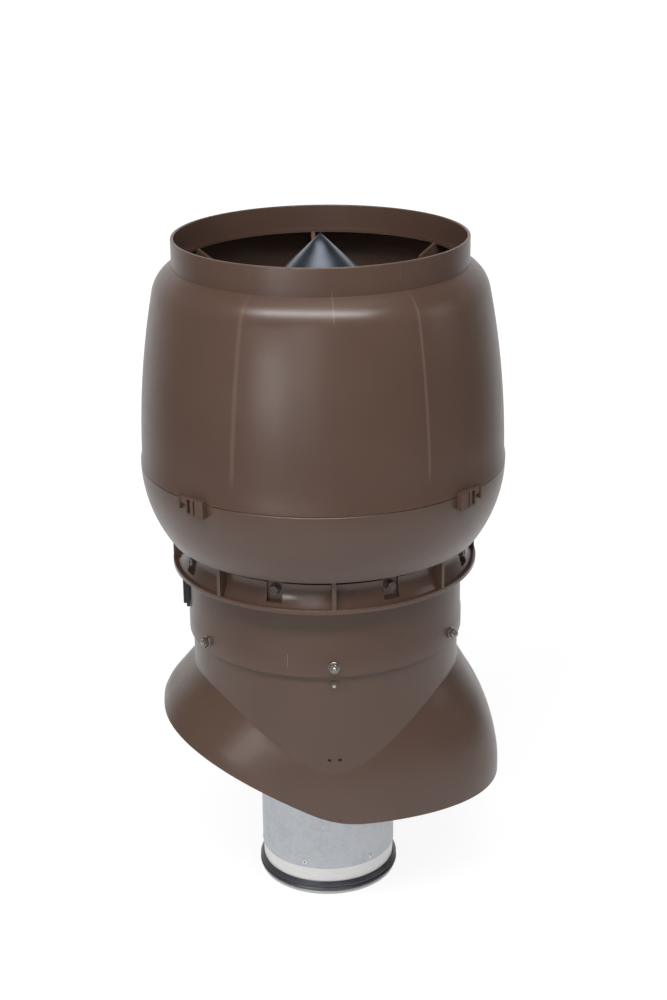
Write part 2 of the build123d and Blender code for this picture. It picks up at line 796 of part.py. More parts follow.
# Clips that hold the two halves of the hood together
clip_slot_start = clip_leg_start + clip_leg_width
clip_slot_end = clip_slot_start + clip_slot
clip_frame_end = clip_slot_end + clip_bar
clip_sides = [(clip_angle, 1), (180 - clip_angle, -1), (180 + clip_angle, 1), (-clip_angle, -1)]
with BuildPart() as hood_clips:
    for a, side in clip_sides:
        clip_bar_along(a, side, 0, clip_block_width, -clip_below, clip_above, clip_block_proud)
        clip_bar_along(a, side, clip_block_width, clip_frame_end, clip_above - clip_bar, clip_above, clip_leg_proud)
        clip_bar_along(a, side, clip_leg_start, clip_slot_start, -clip_below, clip_above, clip_leg_proud)
        clip_bar_along(a, side, clip_leg_start, clip_frame_end, -clip_below, clip_bar - clip_below, clip_leg_proud)
        clip_bar_along(a, side, clip_slot_end, clip_frame_end, -clip_below, clip_above, clip_leg_proud)
        clip_bar_along(a, side, clip_frame_end, clip_arm_end, -clip_arm_half_height, clip_arm_half_height,
                       clip_arm_proud)
        clip_bar_along(a, side, clip_arm_end - clip_tip_width, clip_arm_end, -clip_tip_below,
                       clip_arm_half_height, clip_tip_proud)
hood_clips.part.label = "hood_clips"
export_step(hood_clips.part, "parts/hood_clips.step")

# Flatter cone that closes the deflector below
with BuildPart() as deflector_tray:
    with BuildSketch(Plane.XZ):
        with BuildLine():
            Polyline(
                (0, tray_apex),
                (tray_flat_radius, tray_bottom),
                (tray_rim_radius, tray_bottom),
                (tray_rim_radius, tray_bottom + cone_sheet),
                (tray_flat_radius, tray_bottom + cone_sheet),
                (0, tray_apex + tray_lift),
                close=True,
            )
        make_face()
    revolve(axis=Axis.Z)
    drill([tray_plane(a, 2 * cone_sheet) for a in fin_angles], cone_screw_radius + sheet_fit, 4 * cone_sheet)
deflector_tray.part.label = "deflector_tray"
export_step(deflector_tray.part, "parts/deflector_tray.step")

# Upper cone, spun from sheet, with its edge folded under the flatter one
cone_slope = (cone_apex - cone_base) / cone_radius
cone_drop = cone_sheet * sqrt(1 + cone_slope**2)
hem_inner = cone_radius - cone_sheet
with BuildPart() as deflector_cone:
    with BuildSketch(Plane.XZ):
        with BuildLine():
            Polyline(
                (0, cone_apex),
                (cone_radius, cone_base),
                (cone_radius, hem_bottom - cone_sheet),
                (hem_inner - hem_width / 2, hem_bottom - cone_sheet),
                (hem_inner - hem_width / 2, hem_bottom),
                (hem_inner, hem_bottom),
                (hem_inner, cone_apex - cone_drop - hem_inner * cone_slope),
                (0, cone_apex - cone_drop),
                close=True,
            )
        make_face()
    revolve(axis=Axis.Z)
deflector_cone.part.label = "deflector_cone"
export_step(deflector_cone.part, "parts/deflector_cone.step")

# Pan-head screws that hold the flatter cone on the fins
with BuildPart() as deflector_screws:
    head_places = [tray_plane(a, cone_sheet + sheet_fit / 2) for a in fin_angles]
    studs(head_places, cone_screw_head_radius, cone_screw_head_height)
    studs(head_places, cone_screw_radius, cone_sheet - cone_screw_length)
deflector_screws.part.label = "deflector_screws"
export_step(deflector_screws.part, "parts/deflector_screws.step")
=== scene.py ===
import bpy
import bmesh
from math import cos, pi, radians, sin, tan
from mathutils import Matrix, Vector


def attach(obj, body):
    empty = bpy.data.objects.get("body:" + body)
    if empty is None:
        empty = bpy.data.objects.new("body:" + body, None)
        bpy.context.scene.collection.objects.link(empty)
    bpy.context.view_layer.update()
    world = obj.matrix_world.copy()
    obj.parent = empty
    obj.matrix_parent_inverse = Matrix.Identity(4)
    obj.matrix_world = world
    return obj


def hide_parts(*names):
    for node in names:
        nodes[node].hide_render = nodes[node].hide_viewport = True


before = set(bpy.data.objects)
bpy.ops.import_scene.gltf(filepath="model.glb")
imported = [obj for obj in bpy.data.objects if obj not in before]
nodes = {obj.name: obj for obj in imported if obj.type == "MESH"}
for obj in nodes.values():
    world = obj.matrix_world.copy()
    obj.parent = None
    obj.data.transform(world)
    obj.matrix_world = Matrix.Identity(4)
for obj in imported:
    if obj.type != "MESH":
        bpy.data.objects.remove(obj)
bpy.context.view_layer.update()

# The photographer's view: a long lens, two metres in front and a little to the left of the pipe's own front,
# held above the outlet and tilted down, so that the hood's mouth and the skirt's saddle both show.
photo_height = 1000
focal_pixels = 1816.65
camera_turn = radians(-3.2)
camera_distance = 1.9551
camera_height = 1.2011
camera_yaw = 0.005669
camera_pitch = 0.356399
camera_roll = 0.011328
camera_data = bpy.data.cameras.new("photo_camera")
camera_data.sensor_width = 36.0
camera_data.lens = focal_pixels * camera_data.sensor_width / photo_height
camera = bpy.data.objects.new("photo_camera", camera_data)
bpy.context.scene.collection.objects.link(camera)
bpy.context.scene.camera = camera
heading = camera_yaw - camera_turn
ahead = Vector((sin(heading) * cos(camera_pitch), cos(heading) * cos(camera_pitch), -sin(camera_pitch)))
level = Vector((cos(heading), -sin(heading), 0))
below = ahead.cross(level)
across = level * cos(camera_roll) + below * sin(camera_roll)
down = below * cos(camera_roll) - level * sin(camera_roll)
place = Vector((camera_distance * sin(camera_turn), -camera_distance * cos(camera_turn), camera_height))
camera.matrix_world = Matrix.Translation(place) @ Matrix((across, -down, -ahead)).transposed().to_4x4()


# Duct and the insulation's casing: sheet steel rolled to a tube and hot-dip galvanised. The zinc sets in
# crystals, each with its own brightness, and the rollers leave a faint grain along the sheet.
def add_node(tree, kind, sockets=None, **settings):
    """Adds one node with its settings, and links or sets its sockets."""
    node = tree.nodes.new(kind)
    for name, value in settings.items():
        setattr(node, name, value)
    for socket, source in (sockets or {}).items():
        if isinstance(source, bpy.types.NodeSocket):
            tree.links.new(source, node.inputs[socket])
        else:
            node.inputs[socket].default_value = source
    return node


def calculated(tree, operation, *numbers):
    """Result of one operation on numbers of a node tree."""
    return add_node(tree, "ShaderNodeMath", dict(enumerate(numbers)), operation=operation).outputs[0]


def between(tree, number, low, high, start=0.0, end=1.0, soft=False):
    """Number that runs from low to high while another one runs from start to end."""
    return add_node(tree, "ShaderNodeMapRange",
                    {"Value": number, "From Min": start, "From Max": end, "To Min": low, "To Max": high},
                    interpolation_type="SMOOTHSTEP" if soft else "LINEAR").outputs[0]


def colour(code):
    """Linear colour of an sRGB hex value."""
    parts = [int(code[i:i + 2], 16) / 255 for i in (1, 3, 5)]
    return [c / 12.92 if c <= 0.04045 else ((c + 0.055) / 1.055) ** 2.4 for c in parts] + [1.0]


def blended(tree, factor, low, high):
    """Colour between two others by a factor."""
    first_colour, second_colour, mixed_colour = 6, 7, 2
    mix = add_node(tree, "ShaderNodeMix", {"Factor": factor, first_colour: low, second_colour: high},
                   data_type="RGBA")
    return mix.outputs[mixed_colour]


def material(name, metallic, specular=0.5):
    """New material with its node tree, its shader and the surface's own coordinates."""
    made = bpy.data.materials.new(name)
    made.use_nodes = True
    shader = made.node_tree.nodes["Principled BSDF"]
    shader.inputs["Metallic"].default_value = metallic
    shader.inputs["Specular IOR Level"].default_value = specular
    spot = add_node(made.node_tree, "ShaderNodeTexCoord").outputs["Object"]
    return made, made.node_tree, shader, spot


def noise(tree, spot, size, detail=3.0):
    """Cloudy variation whose patches are about one size across."""
    cloud = add_node(tree, "ShaderNodeTexNoise", {"Vector": spot, "Scale": 1 / size, "Detail": detail})
    return cloud.outputs["Fac"]


def flattened(tree, spot, times):
    """Coordinates in which a pattern comes out this many times lower than it is wide."""
    return add_node(tree, "ShaderNodeMapping", {"Vector": spot, "Scale": (1, 1, times)}).outputs[0]


def relief(tree, shader, height, depth, strength=1.0):
    """Bumps on the shader's surface."""
    bump = add_node(tree, "ShaderNodeBump", {"Height": height, "Strength": strength, "Distance": depth})
    tree.links.new(bump.outputs[0], shader.inputs["Normal"])


def geometry_tree(name, inputs=()):
    """New geometry node group that takes a mesh and the named inputs, and gives a mesh."""
    tree = bpy.data.node_groups.new(name, "GeometryNodeTree")
    for label, kind in (("Geometry", "NodeSocketGeometry"), *inputs):
        tree.interface.new_socket(label, in_out="INPUT", socket_type=kind)
    tree.interface.new_socket("Geometry", in_out="OUTPUT", socket_type="NodeSocketGeometry")
    return tree


def creased(tree, geometry, angle):
    """Geometry shaded as curved, with creases at the edges that turn by more than an angle."""
    curved = add_node(tree, "GeometryNodeSetShadeSmooth", {"Geometry": geometry, "Shade Smooth": True})
    turn = add_node(tree, "GeometryNodeInputMeshEdgeAngle").outputs[0]
    sharp = add_node(tree, "FunctionNodeCompare", {0: turn, 1: radians(angle)}, operation="GREATER_THAN")
    return add_node(tree, "GeometryNodeSetShadeSmooth",
                    {"Geometry": curved.outputs[0], "Selection": sharp.outputs[0], "Shade Smooth": False},
                    domain="EDGE").outputs[0]


def smooth_edges(piece, angle=30):
    """Joins a piece's loose triangles and shades it as curved or creased."""
    weld_distance = 2e-6
    tree = geometry_tree(piece.name + "_shading")
    loose = add_node(tree, "NodeGroupInput").outputs[0]
    welded = add_node(tree, "GeometryNodeMergeByDistance", {"Geometry": loose, "Distance": weld_distance})
    add_node(tree, "NodeGroupOutput", {0: creased(tree, welded.outputs[0], angle)})
    piece.modifiers.new("shading", "NODES").node_group = tree


def dress(node, finish):
    """Gives a CAD node one finish."""
    piece = nodes[node]
    piece.data.materials.clear()
    piece.data.materials.append(finish)
    return piece


crystal_size = 0.0035
crystal_share = 0.35
grain_share = 0.5
zinc, tree, shader, spot = material("hot_dip_galvanised_steel", metallic=0.5)
crystals = add_node(tree, "ShaderNodeTexVoronoi", {"Vector": spot, "Scale": 1 / crystal_size})
shade = add_node(tree, "ShaderNodeSeparateColor", {"Color": crystals.outputs["Color"]})
bloom = noise(tree, spot, size=0.03, detail=4.0)
grain = noise(tree, flattened(tree, spot, times=14), size=0.012)
crystalline = calculated(tree, "MULTIPLY_ADD", shade.outputs[0], crystal_share, bloom)
streaked = calculated(tree, "MULTIPLY_ADD", grain, grain_share, crystalline)
weathered = between(tree, streaked, low=-0.35, high=0.9)
tree.links.new(blended(tree, weathered, colour("#ABAEB4"), colour("#C4C7CC")), shader.inputs["Base Color"])
tree.links.new(between(tree, shade.outputs[1], low=0.4, high=0.55), shader.inputs["Roughness"])
relief(tree, shader, grain, depth=0.0001, strength=0.3)
for name in ("duct_pipe", "casing_pipe", "casing_end_plate"):
    smooth_edges(dress(name, zinc))


# Coupling in the duct's end: a band of brighter, electro-galvanised strip, polished by its rollers. Its edge
# is rolled outwards to a round rim that the rubber ring sits on.
def tinted(tree, shader, factor, low, high, rough):
    """Colours a surface between two hex values by a factor, and its roughness too where that is a pair."""
    tree.links.new(blended(tree, factor, colour(low), colour(high)), shader.inputs["Base Color"])
    if isinstance(rough, tuple):
        tree.links.new(between(tree, factor, *rough), shader.inputs["Roughness"])
    else:
        shader.inputs["Roughness"].default_value = rough


def clouded(name, metallic, size, low, high, rough):
    """Material whose tint drifts in patches of one size."""
    made, tree, shader, spot = material(name, metallic)
    tinted(tree, shader, noise(tree, spot, size), low, high, rough)
    return made


def turned(name, rings, bored=False, steps=48, standing=False):
    """Mesh turned about the line that points at the front, or about the pipe's axis where it is standing.

    A ring holds its radius, which may depend on the angle as a hexagon's does, and its place along the line.
    """
    shape = bmesh.new()
    loops = []
    for reach, along in rings:
        loop = []
        for step in range(steps):
            swing = 2 * pi * step / steps
            radius = reach(swing) if callable(reach) else reach
            side, rise = radius * cos(swing), radius * sin(swing)
            loop.append(shape.verts.new((side, rise, along) if standing else (side, -along, rise)))
        loops.append(loop)
    for inner, outer in zip(loops, loops[1:] + loops[:1] if bored else loops[1:]):
        for step in range(steps):
            after = (step + 1) % steps
            shape.faces.new((inner[step], inner[after], outer[after], outer[step]))
    if not bored:
        shape.faces.new(loops[0])
        shape.faces.new(loops[-1])
    bmesh.ops.recalc_face_normals(shape, faces=shape.faces)
    mesh = bpy.data.meshes.new(name)
    shape.to_mesh(mesh)
    shape.free()
    return mesh


def standing_ring(name, rings, finish, *replaced):
    """Turned ring round the duct that rides on the part, in place of the CAD nodes that it names."""
    piece = bpy.data.objects.new(name, turned(name, rings, bored=True, steps=160, standing=True))
    bpy.context.scene.collection.objects.link(piece)
    piece.data.materials.append(finish)
    smooth_edges(piece, angle=35)
    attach(piece, "root")
    if replaced:
        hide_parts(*replaced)


strip, tree, shader, spot = material("bright_rolled_strip", metallic=0.35)
lines = noise(tree, flattened(tree, spot, times=30), size=0.02)
tinted(tree, shader, lines, "#DCDBDA", "#EDECEB", rough=(0.3, 0.42))
relief(tree, shader, lines, depth=0.0001, strength=0.2)
smooth_edges(dress("duct_coupling", strip))
worn = clouded("dulled_rolled_rim", metallic=0.4, size=0.01, low="#B4B4B2", high="#CDCDCB", rough=0.4)
strip_radius = 0.0791
rim_reach = 0.0822
rim_height = 0.0052
rim_half = (rim_reach - strip_radius) / 2
rim_section = [(strip_radius, 0.0), (strip_radius, rim_height)]
for swing in range(90, -91, -30):
    rim_section.append((strip_radius + rim_half + rim_half * cos(radians(swing)),
                        rim_height / 2 * (1 + sin(radians(swing)))))
standing_ring("rolled_rim", rim_section, worn)

# Rubber ring on the coupling, extruded EPDM with two lips that bend when it is pushed into a duct.
# Dark blue-black and half glossy, with a fine dusty grain.
rubber = clouded("epdm_rubber", metallic=0.0, size=0.006, low="#3A3C43", high="#4E5159", rough=(0.28, 0.4))
seal_bottom = 0.0054
seal_height = 0.0108
seal_radius = 0.0792
lip_root = 0.0812
lip_reach = 0.0837
seal_section = [(radius, seal_bottom + rise) for radius, rise in (
    (seal_radius, 0.0), (lip_reach - 0.0010, 0.0), (lip_reach, 0.0009), (lip_reach - 0.0002, 0.0022),
    (lip_root, 0.0042), (lip_root, 0.0052), (lip_reach - 0.0008, 0.0060), (lip_reach - 0.0003, 0.0072),
    (lip_reach - 0.0012, 0.0082), (lip_root, 0.0098), (seal_radius + 0.0010, seal_height),
    (seal_radius, seal_height))]
standing_ring("lipped_seal", seal_section, rubber, "duct_seal")

# Mineral wool that fills the room between the duct and the casing: slabs of spun rock fibre, matt and
# yellow-brown, held by the sheet on both sides.
wool, tree, shader, spot = material("mineral_wool", metallic=0.0)
fibres = noise(tree, spot, size=0.004, detail=6.0)
tinted(tree, shader, fibres, "#9A8455", "#C8B587", rough=0.95)
relief(tree, shader, fibres, depth=0.002)
smooth_edges(dress("insulation_wool", wool))


# Hood's lower half, clips and jacket: brown plastic, moulded or extruded, dyed through and satin. The tool
# leaves cloudy patches in the gloss and a very fine grain, and the jacket has a short pale scratch.
def brown_plastic(name, lines=(), dullest=0.37):
    """Brown plastic, with pale lines on it.

    A line has an angle from the front, a lean, a width, a lower and an upper end, a tone and a strength.
    """
    gloss_range = 0.1
    faded_share = 0.15
    made, tree, shader, spot = material(name, metallic=0.0)
    patches = noise(tree, spot, size=0.09)
    mottle = noise(tree, spot, size=0.02, detail=4.0)
    skin = blended(tree, patches, colour("#4C3930"), colour("#574339"))
    where = add_node(tree, "ShaderNodeSeparateXYZ", {"Vector": spot}).outputs
    front = calculated(tree, "MULTIPLY", where["Y"], -1.0)
    swing = calculated(tree, "ARCTAN2", where["X"], front)
    for angle, lean, width, low, high, tone, strength in lines:
        fade = (high - low) * faded_share
        climb = between(tree, where["Z"], radians(angle + lean), radians(angle), start=low, end=high)
        off = calculated(tree, "ABSOLUTE", calculated(tree, "SUBTRACT", swing, climb))
        line = between(tree, off, strength, 0.0, end=radians(width), soft=True)
        above = between(tree, where["Z"], 0.0, 1.0, start=low, end=low + fade, soft=True)
        under = between(tree, where["Z"], 1.0, 0.0, start=high - fade, end=high, soft=True)
        inside = calculated(tree, "MULTIPLY", above, under)
        skin = blended(tree, calculated(tree, "MULTIPLY", line, inside), skin, colour(tone))
    tree.links.new(skin, shader.inputs["Base Color"])
    tree.links.new(between(tree, mottle, dullest - gloss_range, dullest), shader.inputs["Roughness"])
    relief(tree, shader, noise(tree, spot, size=0.0008, detail=2.0), depth=0.0002, strength=0.05)
    return made


brown = brown_plastic("moulded_brown_plastic")
scratch = (-18.6, 0.0, 0.13, 0.334, 0.352, "#9A857A", 0.6)
for name in ("hood_bowl", "hood_clips"):
    smooth_edges(dress(name, brown))
smooth_edges(dress("jacket_pipe", brown_plastic("extruded_brown_plastic", [scratch])))


# Skirt and base ring: the same plastic, each moulded in one piece, bolted and screwed round the jacket. Both
# are the CAD meshes with some points moved: the saddle sits about 3 mm lower and nearer to the roof's high
# side, and the ring's flange is 1 to 2 mm deeper.
def smoothly(value, start, end):
    """Share from 0 to 1 of the way between two values, with soft ends."""
    share = min(max((value - start) / (end - start), 0.0), 1.0)
    return share * share * (3 - 2 * share)


def reshaped(node, finish, move):
    """Copy of a CAD node's mesh with its points moved, which rides in the node's place."""
    mesh = nodes[node].data.copy()
    for vertex in mesh.vertices:
        vertex.co = move(vertex.co)
    mesh.materials.clear()
    mesh.materials.append(finish)
    piece = bpy.data.objects.new(node + "_settled", mesh)
    bpy.context.scene.collection.objects.link(piece)
    smooth_edges(piece)
    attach(piece, "root")
    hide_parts(node)


neck_radius = 0.1544
wing_start = 0.001
wing_end = 0.022
saddle_shift = 0.0030
saddle_drop = 0.0033
saddle_growth = 0.0026
saddle_reach = 0.2047
rim_level = 0.1391
rim_slope = tan(radians(25.4))
rim_band = (0.008, 0.05)
pad_half_width = 0.0135
pad_heights = (0.2126, 0.2280)
pad_rest = 0.00003


def settle_saddle(point):
    """Place of a skirt's point: the wings move outwards, to the left and down, and the rim keeps its line.

    The neck stays, and the raised pad round its two small holes is laid flat.
    """
    reach = Vector((point.x, point.y)).length
    if point.y < 0 and abs(point.x) < pad_half_width and pad_heights[0] < point.z < pad_heights[1]:
        flat = min(reach, neck_radius + pad_rest) / reach
        return Vector((point.x * flat, point.y * flat, point.z))
    wing = smoothly(reach, neck_radius + wing_start, neck_radius + wing_end)
    above_rim = smoothly(point.z - rim_level - max(-point.x, 0) * rim_slope, *rim_band)
    aside = point.x / saddle_reach * saddle_growth - saddle_shift
    rise = max(-aside, 0) * rim_slope if point.x < 0 else 0
    return point + wing * Vector((aside, 0, (1 - above_rim) * rise - above_rim * saddle_drop))


flange_top = 0.4125
flange_core = 0.4090
cove_middle = 0.425
flange_drop = 0.0022
floor_drop = 0.0010


def deepen_flange(point):
    """Place of a ring's point: the flange's lower face drops by 2 mm and its upper face by 1."""
    low = flange_drop - (flange_drop - floor_drop) * smoothly(point.z, flange_core, flange_top)
    return point - Vector((0, 0, low * (1 - smoothly(point.z, flange_top, cove_middle))))


reshaped("skirt", brown, settle_saddle)
reshaped("hood_base_ring", brown_plastic("polished_brown_ring", dullest=0.26), deepen_flange)

# Hood's upper half: the same plastic. Where the flows of melt met, the bell keeps two long pale lines from
# the shoulder to the seam, a short one in the middle of the shoulder, and two faint ones on its collar.
flow_lines = [
    (-29.4, -1.8, 1.3, 0.545, 0.762, "#7A655A", 0.26),
    (29.3, 0.4, 0.8, 0.545, 0.762, "#7F6A5F", 0.32),
    (0.7, 0.0, 0.4, 0.728, 0.760, "#7A655A", 0.5),
    (-30.0, 0.0, 0.5, 0.764, 0.781, "#7A655A", 0.14),
    (26.5, 0.0, 0.5, 0.764, 0.781, "#7A655A", 0.16),
]
smooth_edges(dress("hood_bell", brown_plastic("moulded_brown_bell", flow_lines)))

# Cable entry plug, pushed into the jacket's side hole, and the cover that keeps rain off the insulation: both
# moulded of black plastic, with a duller skin than the brown pieces.
black = clouded("moulded_black_plastic", metallic=0.0, size=0.015, low="#1B1C1F", high="#26272B",
                rough=(0.4, 0.5))
for name in ("cable_entry_plug", "casing_top_cap"):
    smooth_edges(dress(name, black))


# Blind rivets round the duct's end: domed aluminium heads, each with the stub of its broken steel pin
# sunk in the middle, tinted near-black as painted shade inside the rivet's hole. They hold the coupling in
# the duct.
def ring_tree():
    """Node group that repeats one fastener round the pipe, each turned a little differently by hand."""
    tree = geometry_tree("fasteners_round_the_pipe", (
        ("Fastener", "NodeSocketObject"), ("Count", "NodeSocketInt"), ("First Angle", "NodeSocketFloat"),
        ("Height", "NodeSocketFloat"), ("Play", "NodeSocketFloat"), ("Seed", "NodeSocketInt"),
        ("Finish", "NodeSocketMaterial")))
    given = add_node(tree, "NodeGroupInput").outputs
    index = add_node(tree, "GeometryNodeInputIndex").outputs[0]
    pitch = calculated(tree, "DIVIDE", 2 * pi, given["Count"])
    turn = calculated(tree, "MULTIPLY_ADD", index, pitch, given["First Angle"])
    points = add_node(tree, "GeometryNodePoints", {"Count": given["Count"]}).outputs[0]
    lifted = add_node(tree, "ShaderNodeCombineXYZ", {"Z": given["Height"]}).outputs[0]
    places = add_node(tree, "GeometryNodeSetPosition", {"Geometry": points, "Position": lifted}).outputs[0]
    chance = add_node(tree, "FunctionNodeRandomValue", {"Seed": given["Seed"]}, data_type="FLOAT")
    spin = calculated(tree, "MULTIPLY", chance.outputs[1], given["Play"])
    facing = add_node(tree, "ShaderNodeCombineXYZ", {"Y": spin, "Z": turn}).outputs[0]
    fastener = add_node(tree, "GeometryNodeObjectInfo", {"Object": given["Fastener"]}).outputs["Geometry"]
    ring = add_node(tree, "GeometryNodeInstanceOnPoints",
                    {"Points": places, "Instance": fastener, "Rotation": facing}).outputs[0]
    real = add_node(tree, "GeometryNodeRealizeInstances", {"Geometry": ring}).outputs[0]
    finished = add_node(tree, "GeometryNodeSetMaterial",
                        {"Geometry": creased(tree, real, angle=28), "Material": given["Finish"]})
    add_node(tree, "NodeGroupOutput", {0: finished.outputs[0]})
    return tree


fasteners_round_the_pipe = ring_tree()


def ring_of(name, mesh, finish, count, first, height, play=0.0, replaced=()):
    """Ring of like fasteners round the pipe, as one plain mesh that rides on the part."""
    fastener = bpy.data.objects.new(name + "_one", mesh)
    piece = bpy.data.objects.new(name, bpy.data.meshes.new(name))
    bpy.context.scene.collection.objects.link(piece)
    repeat = piece.modifiers.new("repeat", "NODES")
    repeat.node_group = fasteners_round_the_pipe
    values = {"Fastener": fastener, "Count": count, "First Angle": radians(first), "Height": height,
              "Play": play, "Seed": 7, "Finish": finish}
    for socket in fasteners_round_the_pipe.interface.items_tree:
        if socket.in_out == "INPUT" and socket.name in values:
            repeat[socket.identifier] = values[socket.name]
    made = bpy.data.meshes.new_from_object(piece.evaluated_get(bpy.context.evaluated_depsgraph_get()))
    piece.modifiers.remove(repeat)
    piece.data = made
    bpy.data.objects.remove(fastener)
    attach(piece, "root")
    if replaced:
        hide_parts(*replaced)


bright = clouded("bright_aluminium", metallic=0.3, size=0.002, low="#DEDEDD", high="#F0F0EF", rough=0.32)
# The pin's near-black tint is painted shade: it stands in for the darkness inside each rivet's hole.
pin_steel_painted_hole_shade = clouded("broken_pin_painted_hole_shade", metallic=0.6, size=0.001, low="#242426", high="#3A3A3D", rough=0.5)
rivet_count = 6
rivet_first = 36
rivet_height = 0.041
rivet_seat = 0.0801
rivet_radius = 0.0032
rivet_head = 0.0011
rivet_mouth = rivet_seat + rivet_head * 0.9
pin_radius = 0.0011
pin_shoulder = rivet_seat + rivet_head * 0.35
pin_top = rivet_seat + rivet_head * 0.5
pin_top_radius = pin_radius * 0.6
shank_radius = 0.0016
shank_end = rivet_seat - 0.002
dome = [(rivet_radius * cos(radians(swing)), rivet_seat + rivet_head * sin(radians(swing)))
        for swing in (0, 20, 40, 58, 70)]
rivet = [(pin_radius, shank_end), (shank_radius, shank_end), (shank_radius, rivet_seat)]
rivet += dome + [(pin_radius, rivet_mouth)]
ring_of("rivet_heads", turned("rivet_head", rivet, bored=True), bright, rivet_count, rivet_first,
        rivet_height, replaced=("coupling_rivets",))
pin = [(pin_radius, shank_end), (pin_radius, pin_shoulder), (pin_top_radius, pin_top)]
ring_of("rivet_pins", turned("rivet_pin", pin), pin_steel_painted_hole_shade, rivet_count, rivet_first, rivet_height)

# Bolts, washers and nuts that join the skirt's neck to the jacket: zinc-plated steel, dulled by handling.
# Mushroom heads inside, and rolled threads that stand out of the chamfered nuts by two turns.
plated = clouded("zinc_plated_steel", metallic=0.85, size=0.003, low="#7C7672", high="#A39D97",
                 rough=(0.28, 0.42))
bolt_count = 6
bolt_first = 0
bolt_height = 0.337
bolt_radius = 0.003
bolt_pitch = 0.001
bolt_seat = 0.15118
bolt_head = 0.0011
bolt_head_radius = 0.006
bolt_end = 0.1678
bolt_point = 0.0006
thread_depth = 0.00045
washer_seat = 0.1587
washer_radius = 0.0065
washer_height = 0.0015
washer_play = 0.0003
nut_seat = 0.1603
nut_flats = 0.010
nut_height = 0.005
nut_chamfer = nut_flats * 0.07
nut_face = nut_flats / 2 * 0.97
nut_bore = bolt_radius + 0.0001
nut_countersink = 0.0004


def hexagon(flats, widest):
    """Radius of a hexagon over the angle, with its corners turned off at a circle."""
    return lambda swing: min(flats / 2 / cos((swing % (pi / 3)) - pi / 6), widest)


def corner_radius(flats):
    """Radius at the corners of a hexagon."""
    return flats / 2 / cos(pi / 6)


def washer_rings(seat, bore, radius, height):
    """Section of a punched washer, with its rounded upper edge."""
    soft = height * 0.3
    return [(bore, seat), (radius, seat), (radius, seat + height - soft), (radius - soft, seat + height),
            (bore + soft, seat + height), (bore, seat + height - soft)]


thread = []
for winding in range(int((bolt_end - nut_seat) / bolt_pitch)):
    for share, depth in ((0.0, 0.0), (0.5, thread_depth)):
        thread.append((bolt_radius - depth, nut_seat + (winding + share) * bolt_pitch))
bolt = [(bolt_head_radius * cos(radians(swing)), bolt_seat - bolt_head * sin(radians(swing)))
        for swing in (80, 60, 35, 12, 0)]
bolt += [(bolt_radius, bolt_seat)] + thread
bolt += [(bolt_radius, bolt_end - bolt_point), (bolt_radius - bolt_point, bolt_end)]
ring_of("bolts_with_threads", turned("bolt", bolt, steps=24), plated, bolt_count, bolt_first, bolt_height,
        replaced=("skirt_bolts",))
nut_top = nut_seat + nut_height
nut_corner = corner_radius(nut_flats)
nut = [(nut_bore, nut_seat), (hexagon(nut_flats, nut_flats / 2), nut_seat),
       (hexagon(nut_flats, nut_corner), nut_seat + nut_chamfer),
       (hexagon(nut_flats, nut_corner), nut_top - nut_chamfer), (hexagon(nut_flats, nut_face), nut_top),
       (nut_bore + nut_countersink, nut_top), (nut_bore, nut_top - nut_countersink)]
ring_of("chamfered_nuts", turned("nut", nut, bored=True), plated, bolt_count, bolt_first, bolt_height,
        play=pi / 3, replaced=("skirt_nuts",))
washer = washer_rings(washer_seat, bolt_radius + washer_play, washer_radius, washer_height)
ring_of("punched_washers", turned("washer", washer, bored=True), plated, bolt_count, bolt_first, bolt_height,
        replaced=("skirt_washers",))

# Hexagon screws with washers in the ring's channels: darker, passivated steel that has lost its shine.
# They pass through the ring, the jacket and the casing.
dark_steel = clouded("passivated_steel", metallic=0.7, size=0.003, low="#4E4845", high="#6A625D",
                     rough=(0.32, 0.45))
screw_count = 8
screw_first = 22.5
screw_height = 0.429
screw_radius = 0.00275
screw_tip = 0.1466
screw_tip_radius = 0.0004
screw_taper = 0.002
screw_washer_seat = 0.1613
screw_washer_radius = 0.006
screw_washer_height = 0.0012
screw_seat = 0.1626
screw_flats = 0.010
screw_head = 0.0045
screw_collar = 0.0007
screw_step = 0.0001
screw_chamfer = screw_flats * 0.08
screw_face = screw_flats / 2 * 0.96
screw_dimple_rim = screw_flats * 0.36
screw_dimple_floor = screw_flats * 0.3
screw_dimple_depth = 0.0005
screw_corner = corner_radius(screw_flats)
screw_top = screw_seat + screw_head
screw = [(screw_tip_radius, screw_tip), (screw_radius, screw_tip + screw_taper), (screw_radius, screw_seat),
         (screw_corner, screw_seat), (screw_corner, screw_seat + screw_collar),
         (hexagon(screw_flats, screw_corner), screw_seat + screw_collar + screw_step),
         (hexagon(screw_flats, screw_corner), screw_top - screw_chamfer),
         (hexagon(screw_flats, screw_face), screw_top), (screw_dimple_rim, screw_top),
         (screw_dimple_floor, screw_top - screw_dimple_depth)]
ring_of("screws_with_heads", turned("screw", screw), dark_steel, screw_count, screw_first, screw_height,
        play=pi / 3, replaced=("ring_screws",))
washer = washer_rings(screw_washer_seat, screw_radius + washer_play, screw_washer_radius, screw_washer_height)
ring_of("screw_washers", turned("screw_washer", washer, bored=True), dark_steel, screw_count, screw_first,
        screw_height, replaced=("ring_washers",))

# Deflector: two cones spun from galvanised sheet over a former, with faint rings left by the tool, and the
# screws that hold it on the fins.
spun, tree, shader, spot = material("spun_galvanised_steel", metallic=0.95)
rings = add_node(tree, "ShaderNodeTexWave", {"Vector": spot, "Scale": 90.0, "Distortion": 1.5},
                 bands_direction="Z").outputs["Fac"]
tinted(tree, shader, noise(tree, spot, size=0.03, detail=4.0), "#6D737D", "#8F96A2", rough=(0.24, 0.34))
relief(tree, shader, rings, depth=0.0002, strength=0.08)
for name in ("deflector_cone", "deflector_tray"):
    smooth_edges(dress(name, spun))
smooth_edges(dress("deflector_screws", plated))

